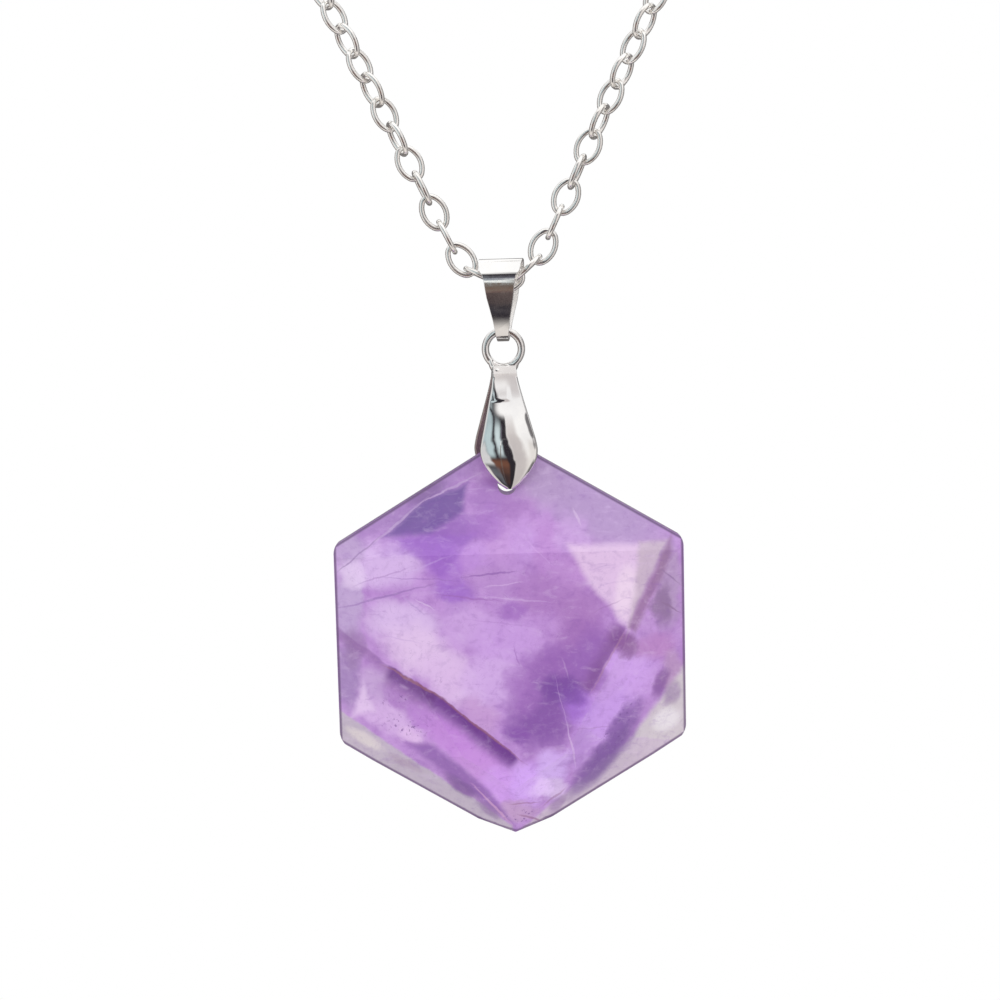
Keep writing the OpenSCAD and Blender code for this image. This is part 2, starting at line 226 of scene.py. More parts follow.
# Soft clouds in the stone, later ones over earlier ones: right and up from its
# middle in millimetres, half width, half height, turn to the left in degrees,
# screen colour and strength
CLOUDS = [
    (6.8, 10.4, 7.0, 2.9, -30, (176, 150, 194), 0.9),
    (2.6, 12.2, 2.8, 2.2, 0, (176, 150, 192), 0.8),
    (-7.5, 11.0, 6.5, 1.5, 30, (158, 124, 182), 0.85),
    (-10.2, 5.8, 3.6, 2.0, 6, (212, 184, 228), 0.9),
    (-12.7, 7.3, 1.4, 1.4, 0, (182, 160, 198), 0.8),
    (-6.6, 7.5, 3.0, 1.2, 0, (154, 104, 192), 0.8),
    (-5.2, 6.0, 1.7, 2.3, 12, (164, 114, 202), 0.8),
    (-4.4, 3.5, 2.0, 0.9, -8, (158, 108, 200), 0.75),
    (-3.0, 6.2, 1.5, 1.5, 0, (190, 144, 218), 0.6),
    (-1.2, 11.0, 2.4, 1.8, 0, (160, 116, 184), 0.8),
    (0.9, 9.6, 1.6, 2.2, 0, (176, 132, 194), 0.6),
    (-0.9, 7.6, 1.5, 1.7, 0, (192, 148, 210), 0.7),
    (1.2, 7.6, 1.3, 1.8, 0, (194, 152, 216), 0.7),
    (3.0, 6.6, 1.2, 3.0, 0, (186, 138, 204), 0.7),
    (5.0, 7.9, 1.6, 1.6, 0, (198, 162, 216), 0.7),
    (5.1, 4.8, 1.4, 1.8, 0, (190, 144, 206), 0.7),
    (-1.0, 4.4, 1.9, 1.4, 0, (186, 146, 204), 0.7),
    (2.6, 3.4, 2.4, 1.9, 0, (170, 124, 188), 0.8),
    (5.6, 1.8, 2.1, 2.2, 0, (170, 124, 186), 0.8),
    (5.6, -0.4, 2.4, 1.5, 0, (160, 112, 180), 0.8),
    (-8.6, 1.2, 3.0, 1.8, -8, (214, 188, 228), 0.9),
    (-6.9, -1.3, 3.4, 1.9, -25, (222, 196, 229), 0.95),
    (-4.6, -3.4, 3.0, 1.7, -35, (216, 186, 226), 0.95),
    (-3.6, 1.0, 2.4, 1.7, 0, (204, 168, 222), 0.8),
    (-1.6, -3.2, 2.6, 2.4, -35, (208, 174, 226), 0.85),
    (-0.4, -0.4, 2.8, 1.9, 0, (200, 160, 222), 0.8),
    (-2.6, -6.2, 1.9, 1.3, -38, (196, 156, 208), 0.9),
    (-12.9, 2.6, 1.2, 3.2, 0, (188, 166, 206), 0.85),
    (3.8, -2.8, 3.4, 2.1, 0, (150, 102, 176), 0.9),
    (6.2, -2.0, 1.6, 2.6, -25, (152, 106, 180), 0.8),
    (2.2, -6.4, 2.7, 2.9, 0, (134, 90, 164), 0.95),
    (0.6, -4.6, 1.4, 2.0, 20, (164, 116, 188), 0.7),
    (5.3, -5.6, 1.4, 1.6, 0, (162, 112, 206), 0.85),
    (9.3, -3.0, 2.2, 2.9, -20, (204, 162, 230), 0.95),
    (7.2, -6.6, 1.9, 2.9, -40, (198, 156, 228), 0.95),
    (11.7, -1.1, 1.8, 1.3, 0, (182, 132, 192), 0.9),
    (12.9, -3.4, 1.0, 2.0, 0, (180, 146, 184), 0.8),
    (12.6, 3.8, 1.2, 3.6, 0, (176, 150, 188), 0.85),
    (-13.1, -3.0, 1.3, 2.9, 0, (162, 134, 184), 0.9),
    (-10.9, -3.8, 1.3, 1.6, 0, (196, 166, 212), 0.85),
    (-9.0, -4.8, 1.9, 1.1, -35, (174, 128, 196), 0.85),
    (-10.0, -6.4, 2.6, 1.2, -28, (212, 178, 226), 0.9),
    (-6.9, -6.6, 1.8, 1.0, -36, (186, 134, 210), 0.9),
    (-4.9, -8.2, 2.8, 1.2, -38, (194, 138, 216), 0.95),
    (-2.8, -10.2, 2.4, 1.5, -38, (198, 146, 218), 0.95),
    (-1.0, -12.0, 1.8, 1.8, 0, (206, 158, 232), 0.95),
    (1.2, -11.8, 1.6, 1.9, 0, (210, 168, 240), 0.95),
    (3.0, -10.8, 1.3, 1.7, 0, (208, 176, 236), 0.95),
    (3.2, -12.6, 1.1, 1.0, 20, (214, 192, 228), 0.85),
    (0.2, -14.0, 1.7, 0.9, 0, (192, 158, 196), 0.85),
    (5.4, -9.2, 1.2, 1.9, -20, (178, 138, 206), 0.8),
    (8.0, -8.4, 0.9, 3.7, -34, (128, 90, 158), 0.95),
    (-4.2, 8.6, 2.8, 1.2, 0, (138, 90, 174), 0.75),
    (-1.6, 8.9, 1.4, 1.5, 0, (162, 112, 190), 0.7),
    (0.4, 10.0, 1.2, 1.0, 0, (160, 114, 182), 0.6),
    (0.2, 2.0, 1.3, 0.9, 0, (158, 108, 186), 0.75),
    (-4.2, 2.2, 1.3, 0.7, 0, (178, 136, 202), 0.6),
    (9.2, -0.9, 1.5, 0.9, -30, (138, 92, 148), 0.9),
    (12.1, 2.3, 0.8, 1.9, 0, (136, 106, 148), 0.8),
    (4.0, -4.4, 1.9, 1.3, 0, (118, 76, 154), 0.8),
    (7.0, -3.6, 0.9, 0.9, 0, (140, 92, 166), 0.6),
    (0.2, -8.0, 1.2, 0.9, 0, (136, 88, 168), 0.85),
    (-12.5, -0.7, 1.0, 1.7, 0, (148, 116, 164), 0.7),
    (-8.0, -8.0, 1.4, 0.7, -30, (226, 194, 234), 0.8),
    (-12.3, 5.0, 1.1, 1.3, 0, (226, 206, 236), 0.7),
    (2.2, -12.4, 0.9, 1.0, 0, (230, 202, 248), 0.8),
    (4.0, -9.8, 0.7, 0.9, 0, (208, 174, 236), 0.7),
]

# Inner facets with sharper edges: corners to the left round, how soft the edge
# is in millimetres, screen colour and strength
PANELS = [
    (((-9.9, 8.1), (-6.2, 8.3), (-3.6, 10.0), (-3.2, 12.2), (-6.6, 10.9)), 0.35, (102, 76, 146), 0.85),
    (((-8.8, 7.9), (-5.4, 4.6), (-2.6, 8.2)), 0.3, (150, 98, 192), 0.5),
    (((4.7, 7.1), (6.3, 4.0), (9.35, 0.4), (10.9, 7.1)), 0.38, (224, 198, 226), 0.85),
    (((9.35, 0.4), (12.6, 7.2), (10.4, 7.2)), 0.3, (198, 180, 196), 0.9),
    (((9.3, 0.5), (9.9, 0.0), (13.0, 6.2), (12.9, 7.6)), 0.3, (146, 112, 146), 0.75),
    (((-12.9, -6.3), (-11.0, -5.7), (-11.9, -3.6)), 0.35, (228, 204, 236), 0.7),
    (((-8.4, -8.5), (-0.2, -15.1), (-2.0, -12.3), (-6.4, -8.6)), 0.3, (140, 98, 168), 0.9),
    (((-14.4, -5.3), (-14.4, -9.2), (0.2, -17.2), (-0.3, -15.2)), 0.14, (188, 178, 190), 0.95),
    (((9.4, -8.5), (14.4, -9.2), (13.9, -2.7)), 0.3, (206, 198, 202), 0.95),
    (((0.5, -15.5), (0.2, -17.2), (14.4, -9.0), (9.4, -8.5)), 0.2, (200, 186, 200), 0.95),
]

# Soft marks over the inner facets, some of them painted glints, in the same order as the clouds
MARKS_AND_GLINTS = [
    (7.0, -10.2, 4.0, 0.95, 46, (122, 86, 152), 0.9),
    (-4.2, -12.0, 1.8, 0.55, -38, (118, 84, 142), 0.8),
    (-2.1, -13.9, 1.2, 0.5, -38, (136, 106, 154), 0.7),
    (-6.4, 11.5, 1.8, 0.6, 29, (122, 92, 146), 0.7),
    (11.9, -4.1, 0.55, 1.4, -22, (126, 82, 146), 0.8),
    (12.8, -5.0, 0.7, 1.1, -22, (160, 138, 170), 0.8),
    # The next two are painted glints near the stone's lower corners
    (12.3, -7.1, 1.3, 0.9, 30, (240, 236, 240), 0.6),
    (-11.9, -8.0, 1.7, 0.5, -30, (228, 220, 214), 0.6),
    (9.2, 3.2, 0.9, 2.3, -8, (238, 220, 234), 0.6),
    (-8.7, -10.0, 1.6, 0.4, -30, (168, 148, 168), 0.6),
    (3.4, -13.6, 1.0, 0.5, 46, (150, 118, 166), 0.7),
]

# Dark edges seen inside the stone: from, to, width of the shade to the right of the
# line in millimetres, screen colour and strength
SHADES = [
    ((-13.9, 1.1), (-9.2, -2.6), -0.9, (140, 100, 158), 0.65),
    ((-9.7, -2.2), (-5.6, -4.8), -1.35, (104, 60, 128), 0.95),
    ((-6.0, -4.5), (0.5, -9.9), -1.25, (112, 66, 140), 0.98),
    ((9.2, 0.6), (6.1, -4.8), -1.1, (132, 88, 150), 0.8),
]

# Fine cracks and light lines, and two lines of painted edge shade at the end: from, to,
# half width in millimetres, screen colour and strength
CRACKS_AND_EDGE_SHADE = [
    ((-13.6, 2.5), (-6.3, 4.2), 0.09, (150, 116, 176), 0.7),
    ((-12.2, 4.3), (-8.0, 5.6), 0.07, (176, 142, 196), 0.6),
    ((-13.6, 5.4), (-10.2, 8.1), 0.08, (150, 124, 170), 0.7),
    ((-11.4, 7.0), (-6.6, 10.9), 0.11, (190, 164, 206), 0.6),
    ((-6.9, 10.7), (-2.2, 12.9), 0.09, (192, 164, 208), 0.7),
    ((-3.4, 4.8), (0.5, 5.1), 0.09, (146, 104, 172), 0.75),
    ((-5.6, 3.4), (-0.8, 2.8), 0.08, (160, 110, 180), 0.7),
    ((-8.4, 3.3), (-6.8, 1.9), 0.08, (186, 156, 208), 0.7),
    ((-7.4, 3.1), (-6.0, 2.2), 0.07, (232, 214, 238), 0.4),
    ((-9.5, 4.6), (-4.8, 6.4), 0.08, (200, 170, 222), 0.35),
    ((-2.0, 3.9), (1.0, 4.2), 0.06, (214, 184, 226), 0.5),
    ((-9.8, 4.9), (-4.0, 4.5), 0.06, (152, 112, 182), 0.5),
    ((-2.3, 3.2), (3.1, 2.6), 0.07, (212, 184, 226), 0.4),
    ((-3.2, 1.4), (1.8, 0.6), 0.06, (174, 130, 198), 0.45),
    ((-10.4, 0.4), (-7.2, -0.4), 0.06, (192, 160, 210), 0.45),
    ((0.2, -0.9), (0.7, -2.4), 0.06, (150, 104, 176), 0.5),
    ((3.4, -3.4), (4.7, -8.8), 0.05, (192, 156, 212), 0.4),
    ((4.9, -7.6), (8.0, -7.4), 0.05, (166, 124, 188), 0.5),
    ((1.0, 7.9), (3.4, 5.6), 0.06, (206, 170, 222), 0.4),
    ((6.6, 1.6), (8.8, 2.6), 0.06, (160, 118, 172), 0.4),
    ((-9.9, -2.3), (-5.6, -4.8), 0.12, (146, 98, 112), 0.8),
    ((-6.0, -4.6), (0.3, -9.7), 0.11, (142, 92, 118), 0.8),
    ((8.9, 0.0), (6.3, -4.7), 0.09, (168, 128, 156), 0.5),
    ((4.4, -7.4), (4.9, -10.6), 0.09, (222, 196, 232), 0.4),
    ((4.0, -1.9), (4.5, -3.4), 0.08, (190, 158, 206), 0.4),
    ((5.2, 9.9), (5.8, 8.6), 0.10, (220, 198, 226), 0.4),
    ((12.0, 2.4), (13.6, 1.6), 0.08, (140, 108, 148), 0.7),
    ((12.0, 5.0), (13.5, 3.8), 0.08, (146, 118, 160), 0.7),
    ((-3.2, -12.0), (-0.4, -15.0), 0.10, (204, 160, 196), 0.7),
    ((0.3, -14.4), (2.2, -14.9), 0.10, (140, 96, 130), 0.7),
    ((-0.4, -13.5), (1.8, -13.4), 0.08, (150, 108, 140), 0.6),
    ((2.3, -13.7), (3.9, -12.4), 0.09, (150, 112, 150), 0.6),
    # Painted dark edge shade along the bottom outline, like the rim's
    ((-3.6, -14.44), (0.4, -15.8), 0.14, (100, 78, 114), 0.75),
    ((-0.4, -15.8), (3.6, -14.32), 0.14, (100, 78, 114), 0.75),
]

# Patches of small dark specks: right, up, half width, half height and turn
SPECKS = [
    (-8.6, -7.0, 2.2, 0.8, -12),
    (-9.2, -5.0, 1.4, 0.6, -10),
    (8.2, -8.0, 0.9, 3.2, -34),
    (0.6, -14.4, 1.6, 0.7, 10),
]

# Where a soft spot ends and where it is full: squares of the distance from its middle
# as a share of the half width
SPOT_END = 1.5
SPOT_FULL = 0.1
# Half length of the thin spot that draws a line, as a share of the line's length
LINE_REACH = 0.56
# Half the softness of a shade's sharp side in millimetres
SHADE_SHARP = 0.1
# Where a shade ends and where it is full on its other side, as shares of its width
SHADE_END = 1.35
SHADE_FULL = 0.25
# The painted dark edge shade inside the outline in millimetres: where it ends and where it is full,
# and its strength at both, then the same for its fade on the side walls
RIM_SHADE_LINE = (0.28, 0.12, 0, 0.85)
RIM_SHADE_WALL = (0.0, 0.05, 0.3, 1)


def spot_mask(nodes, flat, right, up, half_width, half_height, turn, strength):
    """Soft ellipse, strongest at its middle. flat holds right, one and up."""
    cos, sin = math.cos(math.radians(turn)), math.sin(math.radians(turn))
    along = (cos / half_width, -(right * cos + up * sin) / half_width, sin / half_width)
    across = (-sin / half_height, (right * sin - up * cos) / half_height, cos / half_height)
    x = nodes.vector("DOT_PRODUCT", flat, along)
    y = nodes.vector("DOT_PRODUCT", flat, across)
    square = nodes.math("MULTIPLY_ADD", x, x, nodes.math("MULTIPLY", y, y))
    return nodes.smooth(square, SPOT_END, SPOT_FULL, 0, strength)


def line_mask(nodes, flat, start, end, half_width, strength):
    """Thin ellipse from one point to another."""
    length = math.dist(start, end)
    turn = math.degrees(math.atan2(end[1] - start[1], end[0] - start[0]))
    middle = ((start[0] + end[0]) / 2, (start[1] + end[1]) / 2)
    return spot_mask(nodes, flat, *middle, length * LINE_REACH, half_width, turn, strength)


def edge_distance(nodes, flat, start, end):
    """Distance to the left of the line from start to end."""
    length = math.dist(start, end)
    right, up = (end[0] - start[0]) / length, (end[1] - start[1]) / length
    return nodes.vector("DOT_PRODUCT", flat, (-up, up * start[0] - right * start[1], right))


def panel_mask(nodes, flat, corners, soft, strength):
    """Inside of a shape whose corners run to the left round."""
    inside = None
    for i, corner in enumerate(corners):
        distance = edge_distance(nodes, flat, corner, corners[(i + 1) % len(corners)])
        inside = distance if inside is None else nodes.math("MINIMUM", inside, distance)
    return nodes.smooth(inside, -soft, soft, 0, strength)


def shade_mask(nodes, flat, start, end, width, strength):
    """Shade with a sharp edge on the line that fades out to its right for a negative width."""
    beside = edge_distance(nodes, flat, start, end)
    below = nodes.math("MULTIPLY", beside, math.copysign(1, width))
    length = math.dist(start, end)
    right, up = (end[0] - start[0]) / length, (end[1] - start[1]) / length
    along = nodes.vector("DOT_PRODUCT", flat, (right, -(right * start[0] + up * start[1]), up))
    ends = nodes.math(
        "MULTIPLY",
        nodes.smooth(along, -0.2, 0.5),
        nodes.smooth(along, length + 0.2, length - 0.5),
    )
    edge = nodes.smooth(below, -SHADE_SHARP, SHADE_SHARP, 0, strength)
    fade = nodes.smooth(below, abs(width) * SHADE_END, abs(width) * SHADE_FULL)
    return nodes.math("MULTIPLY", nodes.math("MULTIPLY", edge, fade), ends)


def wobble(nodes, here, scale, amount):
    """Place shifted by noise, with right and up kept and one in between."""
    swirl = nodes.noise(here, scale, 4, 0.55).outputs["Color"]
    shift = nodes.vector("SUBTRACT", swirl, (0.5, 0.5, 0.5))
    shift = nodes.vector("MULTIPLY", shift, (amount, amount, amount))
    moved = nodes.vector("ADD", here, shift)
    flat = nodes.vector("MULTIPLY", moved, (1, 0, 1))
    return nodes.vector("ADD", flat, (0, 1, 0))


def crystal_pattern(nodes, here):
    """Colour of the stone, with painted glints and painted edge shade, by the place inside it in
    millimetres from its middle.
    """
    drift = wobble(nodes, here, 0.45, 2.2)
    steady = wobble(nodes, here, 0.7, 0.5)
    mottle = nodes.noise(here, 0.6, 6, 0.6).outputs["Fac"]
    colour = nodes.mix(nodes.smooth(mottle, 0.35, 0.65), LILAC, LAVENDER)
    for right, up, half_width, half_height, turn, tone, strength in CLOUDS:
        mask = spot_mask(nodes, drift, right, up, half_width, half_height, turn, strength)
        colour = nodes.mix(mask, colour, linear(*tone))
    for start, end, width, tone, strength in SHADES:
        mask = shade_mask(nodes, steady, start, end, width, strength)
        colour = nodes.mix(mask, colour, linear(*tone))
    for corners, soft, tone, strength in PANELS:
        mask = panel_mask(nodes, steady, corners, soft, strength)
        colour = nodes.mix(mask, colour, linear(*tone))
    # Soft marks and painted glints over the inner facets
    for right, up, half_width, half_height, turn, tone, strength in MARKS_AND_GLINTS:
        mask = spot_mask(nodes, steady, right, up, half_width, half_height, turn, strength)
        colour = nodes.mix(mask, colour, linear(*tone))
    # Cracks, light lines and lines of painted edge shade
    for start, end, half_width, tone, strength in CRACKS_AND_EDGE_SHADE:
        mask = line_mask(nodes, steady, start, end, half_width, strength)
        colour = nodes.mix(mask, colour, linear(*tone))
    grains = nodes.noise(here, 3.2, 3, 0.6).outputs["Fac"]
    for place in SPECKS:
        patch = spot_mask(nodes, steady, *place, 1.0)
        specks = nodes.math("MULTIPLY", patch, nodes.smooth(grains, 0.57, 0.66, 0, 0.75))
        colour = nodes.mix(specks, colour, SPECK_TONE)
    return colour


def veils(nodes, here, colour):
    """Fine streaks, hair cracks and grain over the clouds."""
    stretched = nodes.vector("MULTIPLY", here, (0.45, 0.45, 1.0))
    streak = nodes.noise(stretched, 1.4, 7, 0.62, 0.8).outputs["Fac"]
    colour = nodes.mix(nodes.smooth(streak, 0.52, 0.78, 0, 0.24), colour, linear(226, 204, 236))
    colour = nodes.mix(nodes.smooth(streak, 0.46, 0.3, 0, 0.25), colour, linear(140, 94, 172))
    grain = nodes.noise(here, 1.7, 5, 0.6, 0.3).outputs["Fac"]
    colour = nodes.mix(nodes.smooth(grain, 0.5, 0.75, 0, 0.08), colour, linear(228, 206, 234))
    colour = nodes.mix(nodes.smooth(grain, 0.5, 0.3, 0, 0.16), colour, linear(132, 90, 160))
    ridge = nodes.noise(here, 0.8, 3, 0.5, 1.2).outputs["Fac"]
    ridge = nodes.math("ABSOLUTE", nodes.math("SUBTRACT", ridge, 0.5))
    return nodes.mix(nodes.smooth(ridge, 0.006, 0.0, 0, 0.28), colour, linear(132, 92, 158))


def rim_shade_mask(nodes, place):
    """Painted edge shade: a dark line just inside the six-sided outline, fainter on the stone's side
    walls.
    """
    points = [vertex.co for vertex in frame["nodes"]["crystal"].data.vertices]
    lean = Matrix.Rotation(math.radians(DROP_LEAN), 3, "X")
    inside = None
    for turn in (30, 90, 150):
        way = lean @ Vector((math.sin(math.radians(turn)), 0, math.cos(math.radians(turn))))
        reach = [point.dot(way) / MM for point in points]
        middle = (max(reach) + min(reach)) / 2
        half = (max(reach) - min(reach)) / 2
        along = nodes.vector("DOT_PRODUCT", place, tuple(way))
        here = nodes.math("MULTIPLY_ADD", along, 1 / MM, -middle)
        depth = nodes.math("SUBTRACT", half, nodes.math("ABSOLUTE", here))
        inside = depth if inside is None else nodes.math("MINIMUM", inside, depth)
    line = nodes.smooth(inside, *RIM_SHADE_LINE)
    return nodes.math("MULTIPLY", line, nodes.smooth(inside, *RIM_SHADE_WALL))


def crystal_material():
    """Cloudy violet quartz with a faint painted glow of its own colour, which lets the lamps' light
    through but hides its back.
    """
    material, nodes, output = new_material("violet_quartz")
    place = nodes.add("ShaderNodeTexCoord").outputs["Object"]
    here = nodes.vector("SUBTRACT", place, tuple(STONE_MIDDLE))
    here = nodes.vector("MULTIPLY", here, (1 / MM, 1 / MM, 1 / MM))
    colour = veils(nodes, here, crystal_pattern(nodes, here))
    # Painted dark edge shade just inside the outline
    colour = nodes.mix(rim_shade_mask(nodes, place), colour, RIM_SHADE_TONE)
    wear = nodes.noise(here, 2.2, 8, 0.65, 0.4).outputs["Fac"]
    roughness = nodes.smooth(wear, 0.3, 0.8, 0.05, 0.22)
    bump = nodes.add("ShaderNodeBump", Height=wear, Strength=0.06, Distance=0.00004)
    shader = nodes.add(
        "ShaderNodeBsdfPrincipled",
        Base_Color=colour,
        Roughness=roughness,
        IOR=1.54,
        Transmission_Weight=0.2,
        Specular_IOR_Level=0.3,
        # Painted glow: the stone gives off its own colour as a faint light
        Emission_Color=colour,
        Emission_Strength=0.14,
        Normal=bump.outputs[0],
    )
    clear = nodes.add("ShaderNodeBsdfTransparent", Color=SHADOW_TINT)
    lamps = nodes.add("ShaderNodeLightPath").outputs["Is Shadow Ray"]
    through = nodes.math("MULTIPLY", lamps, 0.8)
    mixed = nodes.add("ShaderNodeMixShader", i0=through, i1=shader.outputs[0], i2=clear.outputs[0])
    nodes.set(output, "Surface", mixed.outputs[0])
    return material


# World and light

# Fields of the studio that the metal mirrors: from and to by degrees to the right of
# the front, from and to by degrees above it, screen colour, strength and softness.
# The leaning ones run to the right as they go down.
FIELDS = [
    ((60, 200), (-90, 20), (238, 234, 230), 0.8, 4),
    ((-200, -60), (-90, 10), (224, 218, 214), 0.8, 4),
    ((100, 190), (-90, 28), (70, 66, 68), 0.85, 4),
    ((-190, -100), (-90, 28), (70, 66, 68), 0.85, 4),
    ((71, 92), (-60, 47), (92, 88, 92), 0.9, 2),
]
LEANING_FIELDS = [
    ((17, 50), (-60, 44), (208, 201, 200), 0.9, 8),
    ((-62, 17), (-52, 28), (50, 46, 52), 1.0, 3),
    ((-56, 17), (24, 50), (50, 46, 52), 1.0, 3),
    ((-80, -40), (-26, 62), (230, 231, 232), 0.95, 4),
    ((-40, -25), (-6, 44), (206, 226, 231), 0.92, 4),
    ((-17, -3), (-4, 42), (218, 234, 238), 0.95, 4),
    ((-41, -2), (-32, -12), (124, 84, 68), 0.92, 4),
    ((-62, -34), (-40, -34), (150, 154, 162), 0.7, 4),
]
# What the flat front of the band bail mirrors
BAIL_FIELDS = [
    ((-12.9, -11.1), (-90, -20), (232, 220, 208), 1.0, 0.6),
    ((-12.9, -11.1), (-57, -20), (56, 54, 60), 1.0, 0.6),
    ((-12.9, -11.1), (-45.5, -28), (100, 85, 84), 1.0, 0.6),
    ((-12.9, -11.1), (-28, 13), (116, 104, 96), 1.0, 0.6),
    ((-12.9, -11.1), (13, 22), (255, 255, 252), 1.0, 0.6),
    ((-12.9, -11.1), (22, 41), (112, 107, 122), 1.0, 0.6),
]
# How far the leaning fields run to the right for each degree down
LEAN = 0.41
# Most that a field's sides waver, in degrees
WAVER = 7
# The upper and lower ends of a field are softer than its sides by this factor
HEIGHT_SOFT = 1.8

# Lamps: name, place from the stone's middle, size and power
LAMPS = [
    ("lamp_high_right", (0.25, -0.3, 0.35), 0.25, 0.3),
    ("lamp_left", (-0.35, -0.15, 0.1), 0.2, 0.1),
]

FLOOR_RADIUS = 0.45
FLOOR_BELOW = 0.06
FLOOR_SIDES = 96


def add_world():
    """White for what is seen past and through the stone, a studio for reflections."""
    world = bpy.data.worlds.new("studio")
    world.use_nodes = True
    bpy.context.scene.world = world
    nodes = Nodes(world.node_tree)
    output = nodes.add("ShaderNodeOutputWorld")
    way = nodes.add("ShaderNodeTexCoord").outputs["Generated"]
    parts = nodes.add("ShaderNodeSeparateXYZ", Vector=way)
    side, depth, rise = parts.outputs
    turn = nodes.math("ARCTAN2", side, nodes.math("MULTIPLY", depth, -1.0))
    turn = nodes.math("MULTIPLY", turn, 180 / math.pi)
    height = nodes.math("MULTIPLY", nodes.math("ARCSINE", rise), 180 / math.pi)
    room = nodes.mix(nodes.smooth(height, -80, 60), linear(232, 226, 220), linear(266, 266, 266))
    wave = nodes.noise(way, 3.2, 1.5, 0.5).outputs["Fac"]
    wavy = nodes.math("ADD", turn, nodes.math("MULTIPLY_ADD", wave, 2 * WAVER, -WAVER))
    leaning = nodes.math("MULTIPLY_ADD", height, LEAN, wavy)
    for fields, across in ((FIELDS, wavy), (LEANING_FIELDS, leaning), (BAIL_FIELDS, turn)):
        for (left, right), (low, high), tone, strength, soft in fields:
            beside = nodes.between(across, left, right, soft)
            upright = nodes.between(height, low, high, HEIGHT_SOFT * soft, strength)
            room = nodes.mix(nodes.math("MULTIPLY", beside, upright), room, linear(*tone))
    path = nodes.add("ShaderNodeLightPath")
    shown = nodes.mix(path.outputs["Is Glossy Ray"], (1, 1, 1, 1), room)
    background = nodes.add("ShaderNodeBackground", Color=shown, Strength=1.0)
    nodes.set(output, "Surface", background.outputs[0])


def add_light(name, place, size, power):
    """Soft square lamp that faces the stone."""
    data = bpy.data.lights.new(name, "AREA")
    data.size = size
    data.energy = power
    lamp = bpy.data.objects.new(name, data)
    bpy.context.collection.objects.link(lamp)
    place = STONE_MIDDLE + Vector(place)
    aim = (STONE_MIDDLE - place).to_track_quat("-Z", "Y").to_matrix().to_4x4()
    lamp.matrix_world = Matrix.Translation(place) @ aim
    lamp.visible_glossy = False


def add_floor():
    """Plain pale disc under the stone."""
    mesh = bpy.data.meshes.new("floor")
    level = cad_box[0][2] - FLOOR_BELOW
    points = []
    for i in range(FLOOR_SIDES):
        turn = 2 * math.pi * i / FLOOR_SIDES
        deep = FLOOR_RADIUS * math.sin(turn) + STONE_MIDDLE.y
        points.append((FLOOR_RADIUS * math.cos(turn), deep, level))
    mesh.from_pydata(points, [], [list(range(FLOOR_SIDES))])
    floor = bpy.data.objects.new("floor", mesh)
    bpy.context.collection.objects.link(floor)
    material, nodes, output = new_material("pale_floor")
    place = nodes.add("ShaderNodeTexCoord").outputs["Object"]
    grain = nodes.noise(place, 60, 4).outputs["Fac"]
    colour = nodes.mix(grain, linear(246, 245, 244), linear(238, 237, 237))
    shader = nodes.add("ShaderNodeBsdfPrincipled", Base_Color=colour, Roughness=0.7)
    nodes.set(output, "Surface", shader.outputs[0])
    mesh.materials.append(material)
    # The metal mirrors the studio around it and not this small floor
    floor.visible_glossy = False


# Pieces


def add_piece(name, mesh, material, node, body):
    """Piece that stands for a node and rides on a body."""
    mesh.materials.clear()
    mesh.materials.append(material)
    piece = bpy.data.objects.new(name, mesh)
    bpy.context.collection.objects.link(piece)
    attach(piece, body)
    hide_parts(node)
    return piece


# Points nearer than this are one, and faces that differ by less than this many
# degrees are one
SEAM = 2e-7
FLAT = 0.4


def clean_copy(node, name, sharp):
    """The node's own shape with whole faces and soft shading below an angle in degrees."""
    work = bmesh.new()
    work.from_mesh(frame["nodes"][node].data)
    bmesh.ops.remove_doubles(work, verts=work.verts, dist=SEAM)
    flat = math.radians(FLAT)
    bmesh.ops.dissolve_limit(work, angle_limit=flat, verts=work.verts, edges=work.edges)
    mesh = bpy.data.meshes.new(name)
    work.to_mesh(mesh)
    work.free()
    mesh.shade_smooth()
    mesh.set_sharp_from_angle(angle=math.radians(sharp))
    return mesh


# Turns of the small flats at a corner of the stone, in degrees from its middle one
CORNER_FLATS = range(-24, 25, 6)


def round_corners(mesh, radius):
    """Rounds the six corners of the stone's outline by small flats all round each one."""
    work = bmesh.new()
    work.from_mesh(mesh)
    half = STONE_ACROSS / 2
    # The right side's corners give the height of the outline's middle
    right = STONE_MIDDLE.x + half - 0.05 * MM
    side = [vertex.co.z for vertex in work.verts if vertex.co.x > right]
    middle = Vector((STONE_MIDDLE.x, STONE_MIDDLE.y, (min(side) + max(side)) / 2))
    reach = (half - radius) / math.cos(math.radians(30))
    for corner in range(6):
        for lean in CORNER_FLATS:
            turn = math.radians(30 + 60 * corner + lean)
            normal = Vector((math.cos(turn), 0, math.sin(turn)))
            cut = bmesh.ops.bisect_plane(
                work,
                geom=work.verts[:] + work.edges[:] + work.faces[:],
                dist=1e-7,
                plane_co=middle + normal * (reach * math.cos(math.radians(lean)) + radius),
                plane_no=normal,
                clear_outer=True,
            )
            edges = [part for part in cut["geom_cut"] if isinstance(part, bmesh.types.BMEdge)]
            rim = [edge for edge in edges if edge.is_boundary]
            if rim:
                bmesh.ops.contextual_create(work, geom=rim)
    work.to_mesh(mesh)
    work.free()
    mesh.shade_smooth()
    mesh.set_sharp_from_angle(angle=math.radians(12))


def dull_inside(piece, material, inside):
    """Second material on the faces that the test takes, by their middle and normal."""
    piece.data.materials.append(material)
    for face in piece.data.polygons:
        if inside(face.center, face.normal):
            face.material_index = 1


